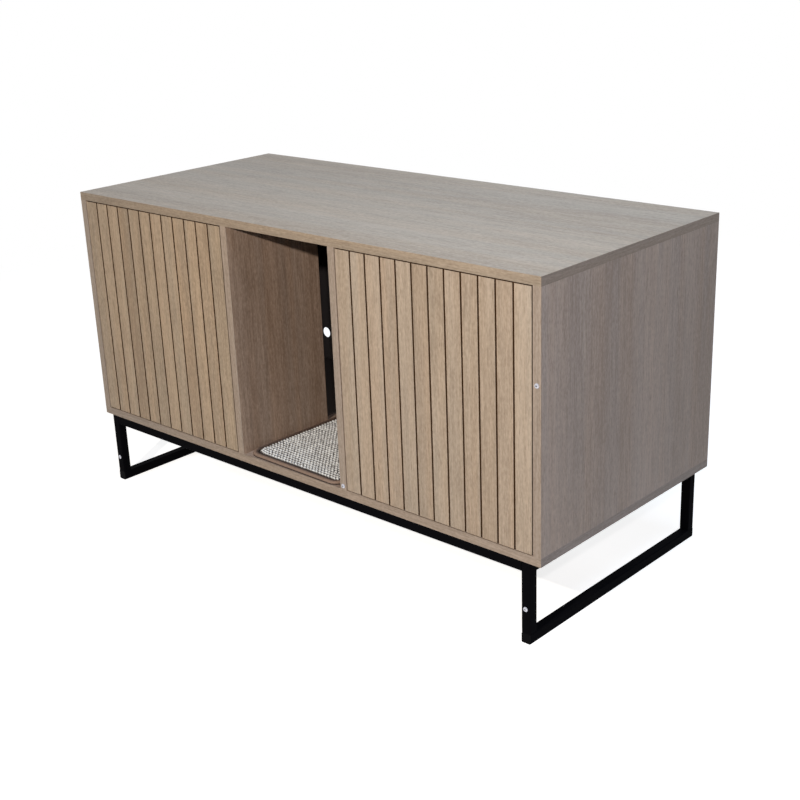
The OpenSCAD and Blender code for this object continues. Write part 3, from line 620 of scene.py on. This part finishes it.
# scratching mat: rows of yarn loops on a backing, bound with tape
matSetup = {
    "turn": 1.0,  # degrees out of square
    # radii of the left corners and of the right ones
    "corner": (0.031, 0.022),
    "fieldCorner": (0.025, 0.014),
    "backing": 0.0026,
    "backingCells": (30, 54),
    "tape": (0.0124, 0.0152),
    "loopPitch": (0.0082, 0.0076),
    "rowShift": 0.0014,
    "squeezedLoops": 4,
    "loopSpan": 0.0023,
    "loopSink": 0.0004,
    "loopSides": 7,
    "loopSteps": 6,
    "loopSwell": (1.0, 1.28, 1.20),
    "yarn": 0.0017,
    "seed": 11,
    "turnSpread": 0.10,
    "sizeSpread": 0.03,
    "placeSpread": 0.00022,
    "riseSpread": 0.04,
    "tone": 0.5,
    "toneSpread": 0.10,
    "toneLimits": (0.1, 0.9),
    # painted highlight on the crests and painted shade between them, by how far up the loop
    "shadeRise": (0.20, 0.48),
    "shadeLift": (-0.56, 0.28),
}


def turnMat(piece, low, high):
    turn = -math.radians(matSetup["turn"])
    centre = (low + high) / 2
    for vertex in piece.data.vertices:
        x, y = vertex.co.x - centre.x, vertex.co.y - centre.y
        vertex.co.x = centre.x + x * math.cos(turn) - y * math.sin(turn)
        vertex.co.y = centre.y + x * math.sin(turn) + y * math.cos(turn)


def makeMatBacking(low, high):
    piece = flatSheet(low, high, matSetup["corner"], matSetup["backingCells"])
    thicken(piece, matSetup["backing"])
    return piece


# one loop of yarn: a ring spun upwards over a half turn, closed at its ends and swollen
def makeYarnLoop(place):
    bpy.ops.mesh.primitive_circle_add(
        vertices=matSetup["loopSides"], radius=matSetup["yarn"], fill_type="NOTHING")
    piece = bpy.context.object
    for vertex in piece.data.vertices:
        vertex.co.x -= matSetup["loopSpan"]
    bpy.ops.object.mode_set(mode="EDIT")
    bpy.ops.mesh.select_all(action="SELECT")
    bpy.ops.mesh.spin(steps=matSetup["loopSteps"], angle=-math.pi, center=(0, 0, 0), axis=(0, 1, 0))
    bpy.ops.mesh.select_all(action="SELECT")
    bpy.ops.mesh.remove_doubles(threshold=1e-6)
    bpy.ops.mesh.fill_holes(sides=matSetup["loopSides"] + 1)
    bpy.ops.mesh.select_all(action="SELECT")
    bpy.ops.mesh.normals_make_consistent(inside=False)
    bpy.ops.object.mode_set(mode="OBJECT")
    for vertex in piece.data.vertices:
        for axis, swell in enumerate(matSetup["loopSwell"]):
            vertex.co[axis] *= swell
        vertex.co += place
    return piece


def repeatPiece(piece, count, step):
    rows = piece.modifiers.new("rows", "ARRAY")
    rows.use_relative_offset = False
    rows.use_constant_offset = True
    rows.constant_offset_displace = step
    rows.count = count
    bpy.ops.object.modifier_apply(modifier=rows.name)


# the points of each loop about its middle, turned and sized by chance
def shuffledLoops(fromMiddle, chance):
    turn = chance.normal(0, matSetup["turnSpread"], (len(fromMiddle), 1))
    size = 1 + chance.normal(0, matSetup["sizeSpread"], (len(fromMiddle), 1, 1))
    turned = fromMiddle.copy()
    turned[..., 0] = fromMiddle[..., 0] * np.cos(turn) - fromMiddle[..., 1] * np.sin(turn)
    turned[..., 1] = fromMiddle[..., 0] * np.sin(turn) + fromMiddle[..., 1] * np.cos(turn)
    return turned * size


# each row is woven a little further along than the one before, its ends squeezed to a straight edge
def weaveRows(middles, rows, left, width, step):
    shift = rows * matSetup["rowShift"]
    across = (middles[..., 0] - left + shift) % width
    start = (step / 2 + shift) % step
    fromEnd = np.minimum(across - start, width - step - across + start)
    squeeze = np.clip(1 - fromEnd / (matSetup["squeezedLoops"] * step), 0, 1)
    middles[..., 0] = left + across + (step / 2 - start) * squeeze


def roundFieldCorners(middles, centre, halfX, halfY):
    for middle in middles[:, 0]:
        radius = matSetup["fieldCorner"][int(middle[0] > centre.x)]
        x, y = roundedPoint(middle[0] - centre.x, middle[1] - centre.y, halfX, halfY, radius)
        middle[:2] = centre.x + x, centre.y + y


# a random tone for each loop, with painted highlight and painted shade added by each point's height
def paintYarnToneAndShade(piece, heights, chance):
    loopTones = np.clip(chance.normal(matSetup["tone"], matSetup["toneSpread"], len(heights)),
                        *matSetup["toneLimits"])
    lift = np.interp(heights / heights.max(), matSetup["shadeRise"], matSetup["shadeLift"])
    painted = piece.data.attributes.new("yarnToneAndShade", "FLOAT", "POINT")
    painted.data.foreach_set("value", (loopTones[:, None] + lift).ravel().astype(np.float32))


def makeMatLoops(low, high):
    (tapeX, tapeY), (stepX, stepY) = matSetup["tape"], matSetup["loopPitch"]
    halfX, halfY = (high.x - low.x) / 2 - tapeX, (high.y - low.y) / 2 - tapeY
    countX, countY = round(2 * halfX / stepX), round(2 * halfY / stepY)
    stepX, stepY = 2 * halfX / countX, 2 * halfY / countY
    centre = (low + high) / 2
    first = Vector((centre.x - halfX + stepX / 2, centre.y - halfY + stepY / 2,
                    low.z + matSetup["backing"] - matSetup["loopSink"]))
    piece = makeYarnLoop(first)
    perLoop = len(piece.data.vertices)
    repeatPiece(piece, countX, (stepX, 0, 0))
    repeatPiece(piece, countY, (0, stepY, 0))
    points = np.zeros(len(piece.data.vertices) * 3)
    piece.data.vertices.foreach_get("co", points)
    points = points.reshape(-1, perLoop, 3)
    base = points[..., 2].min()
    chance = np.random.default_rng(matSetup["seed"])
    middles = points.mean(axis=1, keepdims=True)
    shuffled = shuffledLoops(points - middles, chance)
    weaveRows(middles, np.round((middles[..., 1] - first.y) / stepY), centre.x - halfX, 2 * halfX, stepX)
    roundFieldCorners(middles, centre, halfX, halfY)
    moved = middles + shuffled
    moved[..., :2] += chance.normal(0, matSetup["placeSpread"], (len(points), 1, 2))
    rise = 1 + chance.normal(0, matSetup["riseSpread"], (len(points), 1))
    moved[..., 2] = base + (moved[..., 2] - base) * rise
    piece.data.vertices.foreach_set("co", moved.ravel())
    paintYarnToneAndShade(piece, moved[..., 2] - base, chance)
    bpy.ops.object.shade_smooth()
    return piece


tapeSetup = {
    # inward from the outer edge, and up from the floor, in metres
    "profile": [(0.0118, 0.0034), (0.0106, 0.0047), (0.0082, 0.0057), (0.0045, 0.0060), (0.0018, 0.0052),
                (0.0004, 0.0038), (0.0000, 0.0025), (0.0005, 0.0010), (0.0018, 0.0001), (0.0100, 0.0000),
                (0.0100, 0.0010), (0.0112, 0.0034)],
    # painted shade and highlight at each of those points: painted shade at the seam beside the field and
    # underneath, painted highlight on the crest
    "tones": [0.0, 0.1, 0.3, 0.85, 0.95, 0.85, 0.7, 0.6, 0.5, 0.3, 0.2, 0.0],
    "spacing": 0.006,
    "cornerSteps": 8,
    "ripple": 0.00018,
    "rippleWaves": (1.7, 0.23),
    "rippleAbove": 0.0035,
    # painted shade on the left edge, beside the box's side: how much darker it is, and how near the box's
    # side it counts as that edge
    "wallShade": 0.45,
    "wallReach": 0.001,
}


# a closed path round the mat's edge, with a radius for its left and one for its right corners
def roundedPath(low, high, radii, spacing):
    centre = (low + high) / 2
    halfX, halfY = (high.x - low.x) / 2, (high.y - low.y) / 2
    steps = tapeSetup["cornerSteps"]
    points = []
    for signX, signY, start in ((1, -1, -90), (1, 1, 0), (-1, 1, 90), (-1, -1, 180)):
        radius = radii[signX > 0]
        midX, midY = signX * (halfX - radius), signY * (halfY - radius)
        for step in range(steps + 1):
            angle = math.radians(start + step * 90 / steps)
            points.append(Vector((centre.x + midX + radius * math.cos(angle),
                                  centre.y + midY + radius * math.sin(angle), 0)))
    dense = []
    for first, second in zip(points, points[1:] + points[:1]):
        pieces = max(1, round((second - first).length / spacing))
        dense += [first.lerp(second, step / pieces) for step in range(pieces)]
    return dense


# the profile carried along the path, closed to a ring
def sweepProfile(path, profile, floorZ):
    points, faces = [], []
    count, width = len(path), len(profile)
    shortWave, longWave = tapeSetup["rippleWaves"]
    for index, here in enumerate(path):
        following = (index + 1) % count
        along = (path[following] - path[index - 1]).normalized()
        inward = Vector((-along.y, along.x, 0))
        wave = math.sin(index * shortWave) * math.sin(index * longWave + 0.5)
        for side, (inset, rise) in enumerate(profile):
            lift = tapeSetup["ripple"] * wave * (rise > tapeSetup["rippleAbove"])
            point = here + inward * inset
            points.append((point.x, point.y, floorZ + rise + lift))
            other = (side + 1) % width
            faces.append((index * width + side, index * width + other,
                          following * width + other, following * width + side))
    return points, faces


def makeBindingTape(low, high):
    path = roundedPath(low, high, matSetup["corner"], tapeSetup["spacing"])
    points, faces = sweepProfile(path, tapeSetup["profile"], low.z)
    mesh = bpy.data.meshes.new("mat_tape")
    mesh.from_pydata(points, [], faces)
    tones = mesh.attributes.new("tapeShadeAndHighlight", "FLOAT", "POINT")
    shade = [1 - tapeSetup["wallShade"] * (point.x < low.x + tapeSetup["wallReach"]) for point in path]
    tones.data.foreach_set("value", np.outer(shade, tapeSetup["tones"]).ravel().astype(np.float32))
    piece = bpy.data.objects.new("mat_tape", mesh)
    bpy.context.collection.objects.link(piece)
    bpy.context.view_layer.objects.active = piece
    piece.select_set(True)
    bpy.ops.object.mode_set(mode="EDIT")
    bpy.ops.mesh.select_all(action="SELECT")
    bpy.ops.mesh.normals_make_consistent(inside=False)
    bpy.ops.object.mode_set(mode="OBJECT")
    bpy.ops.object.shade_smooth()
    return piece


# yarn: the light end carries the painted highlight on the loops' crests, the dark end the painted shade low
# between them
sisalYarn = clothMaterial(
    "sisalYarn", light=(0.91, 0.96, 1.0), dark=(0.21, 0.205, 0.215),
    waves=(330, 1500, 1500), roughness=0.9, bump=(0.35, 0.0004), toneAndShadeName="yarnToneAndShade")
# backing: its own dark colour, made darker still as painted shade in the gaps between the loops and at the
# seam by the tape
sisalBack = clothMaterial(
    "sisalBack", light=(0.070, 0.055, 0.050), dark=(0.040, 0.032, 0.028),
    waves=(300, 900, 900), roughness=0.9, bump=(0.4, 0.0004))
# tape: the light end carries the painted highlight on the crest, the dark end the painted shade at the seam
# and underneath
tapeCloth = clothMaterial(
    "tapeCloth", light=(0.300, 0.215, 0.172), dark=(0.050, 0.036, 0.032),
    waves=(1400, 1400, 1400), roughness=0.85, bump=(0.4, 0.0003), toneAndShadeName="tapeShadeAndHighlight")

matLow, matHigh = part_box("mat_binding")
backing = makeMatBacking(matLow, matHigh)
loops = makeMatLoops(matLow, matHigh)
tape = makeBindingTape(matLow, matHigh)
finishPiece(backing, "mat_backing", sisalBack)
finishPiece(loops, "mat_loops", sisalYarn)
finishPiece(tape, "mat_tape", tapeCloth)
for piece in (backing, loops, tape):
    turnMat(piece, matLow, matHigh)
    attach(piece, "cabinet")
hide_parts("mat_field")
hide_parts("mat_binding")
print("mat made:", len(loops.data.polygons), "loop faces")


linerSetup = {
    "corner": (0.006, 0.006),
    "cells": (24, 28),
    "rim": 0.0006,
}


def makeLiner(low, high):
    piece = flatSheet(low, high, linerSetup["corner"], linerSetup["cells"])
    thicken(piece, high.z - low.z, linerSetup["rim"])
    return piece


linerRubber = speckled(
    "linerRubber", light=(0.120, 0.104, 0.098), dark=(0.090, 0.078, 0.073),
    size=900, roughness=0.8, gloss=0.2, bump=(0.4, 0.0002))
liner = makeLiner(*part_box("floor_liner"))
finishPiece(liner, "liner_sheet", linerRubber)
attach(liner, "cabinet")
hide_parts("floor_liner")
print("liner made")


# a copy of each latch spring's mesh, in bright zinc, takes its node's place; the real spring shortens
# between the end of its bore and the pushed plunger
def makeLatchSpring(side):
    node = side + "_latch_spring"
    piece = bpy.data.objects.new(side + "_latch_coil", cadNodes[node].data.copy())
    bpy.context.collection.objects.link(piece)
    piece.matrix_world = cadNodes[node].matrix_world
    finishPiece(piece, side + "_latch_coil", finishes["zinc_steel"])
    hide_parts(node)
    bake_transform(piece)


for side in ("left", "right"):
    makeLatchSpring(side)
print("springs made")


# studio; only a mirrored lamp shows in gloss
lamps = {
    "key": {"place": (0.72, -2.57, 1.683), "power": 52.7, "color": (1.0, 0.88, 0.72), "size": 0.06,
            "mirrored": False},
    "flash": {"place": (1.76, -1.83, 1.3465), "power": 17.0, "color": (1.0, 0.93, 0.93), "size": 0.06,
              "mirrored": False},
    "top": {"place": (1.2, -0.3, 2.6), "power": 36.0, "color": (0.64, 0.81, 1.0), "size": 1.6,
            "mirrored": True},
    "back": {"place": (-1.7, 2.7, 1.15), "power": 50.0, "color": (0.88, 0.94, 1.0), "size": 1.4,
             "mirrored": False},
}
studio = {
    "aim": (0.0, -0.2, 0.4),
    "skyColor": (0.80, 0.90, 1.0),
    "skyLevel": 0.01,
    "floorSize": 60,
    "floorColor": 0.65,
    "floorBounce": 0.25,
    "floorGlow": 0.78,
    "fade": (0.9, 2.6),  # the floor fades to plain white over this distance from its middle
}


def addLamp(name, setup):
    place = Vector(setup["place"])
    bpy.ops.object.light_add(type="AREA", location=place)
    lamp = bpy.context.object
    lamp.name = name + "Lamp"
    lamp.rotation_euler = (Vector(studio["aim"]) - place).to_track_quat("-Z", "Y").to_euler()
    lamp.data.shape = "DISK"
    lamp.data.size = setup["size"]
    lamp.data.energy = setup["power"]
    lamp.data.color = setup["color"]
    lamp.visible_glossy = setup["mirrored"]
    lamp.select_set(False)


def seenDirectly(tree):
    rays = addNode(tree, "LightPath").outputs
    seen = calc(tree, "MAXIMUM", rays["Is Camera Ray"], rays["Is Glossy Ray"])
    return calc(tree, "MAXIMUM", seen, rays["Is Transmission Ray"])


def makeWorld():
    world = bpy.data.worlds.new("studioWorld")
    bpy.context.scene.world = world
    world.use_nodes = True
    tree = world.node_tree
    tree.nodes.clear()
    soft = addNode(tree, "Background", {"Color": studio["skyColor"], "Strength": studio["skyLevel"]})
    white = addNode(tree, "Background", {"Color": (1.0, 1.0, 1.0), "Strength": 1.0})
    mixed = addNode(tree, "MixShader", {0: seenDirectly(tree), 1: soft.outputs[0], 2: white.outputs[0]})
    addNode(tree, "OutputWorld", {"Surface": mixed.outputs[0]})


def makeFloor():
    bpy.ops.mesh.primitive_plane_add(size=studio["floorSize"], location=(0, 0, 0))
    floor = bpy.context.object
    floor.name = "studioFloor"
    material = bpy.data.materials.new("studioFloor")
    material.use_nodes = True
    tree = material.node_tree
    tree.nodes.clear()
    place = addNode(tree, "TexCoord").outputs["Object"]
    reach = addNode(tree, "VectorMath", {0: place}, operation="LENGTH").outputs["Value"]
    near = ranged(tree, reach, studio["fade"], (1.0, 0.0))
    seenColor = grey(tree, calc(tree, "MULTIPLY", near, studio["floorColor"]))
    matte = addNode(tree, "BsdfDiffuse", {"Color": seenColor})
    glow = addNode(tree, "Emission", {
        "Strength": calc(tree, "MULTIPLY_ADD", near, studio["floorGlow"] - 1.0, 1.0)})
    shown = addNode(tree, "AddShader", {0: matte.outputs[0], 1: glow.outputs[0]})
    hidden = addNode(tree, "BsdfDiffuse", {"Color": (studio["floorBounce"],) * 3})
    mixed = addNode(tree, "MixShader", {0: seenDirectly(tree), 1: hidden.outputs[0], 2: shown.outputs[0]})
    addNode(tree, "OutputMaterial", {"Surface": mixed.outputs[0]})
    floor.data.materials.append(material)
    floor.select_set(False)


for name, setup in lamps.items():
    addLamp(name, setup)
makeWorld()
makeFloor()
bpy.context.scene.view_settings.view_transform = "Standard"
print("studio lit")
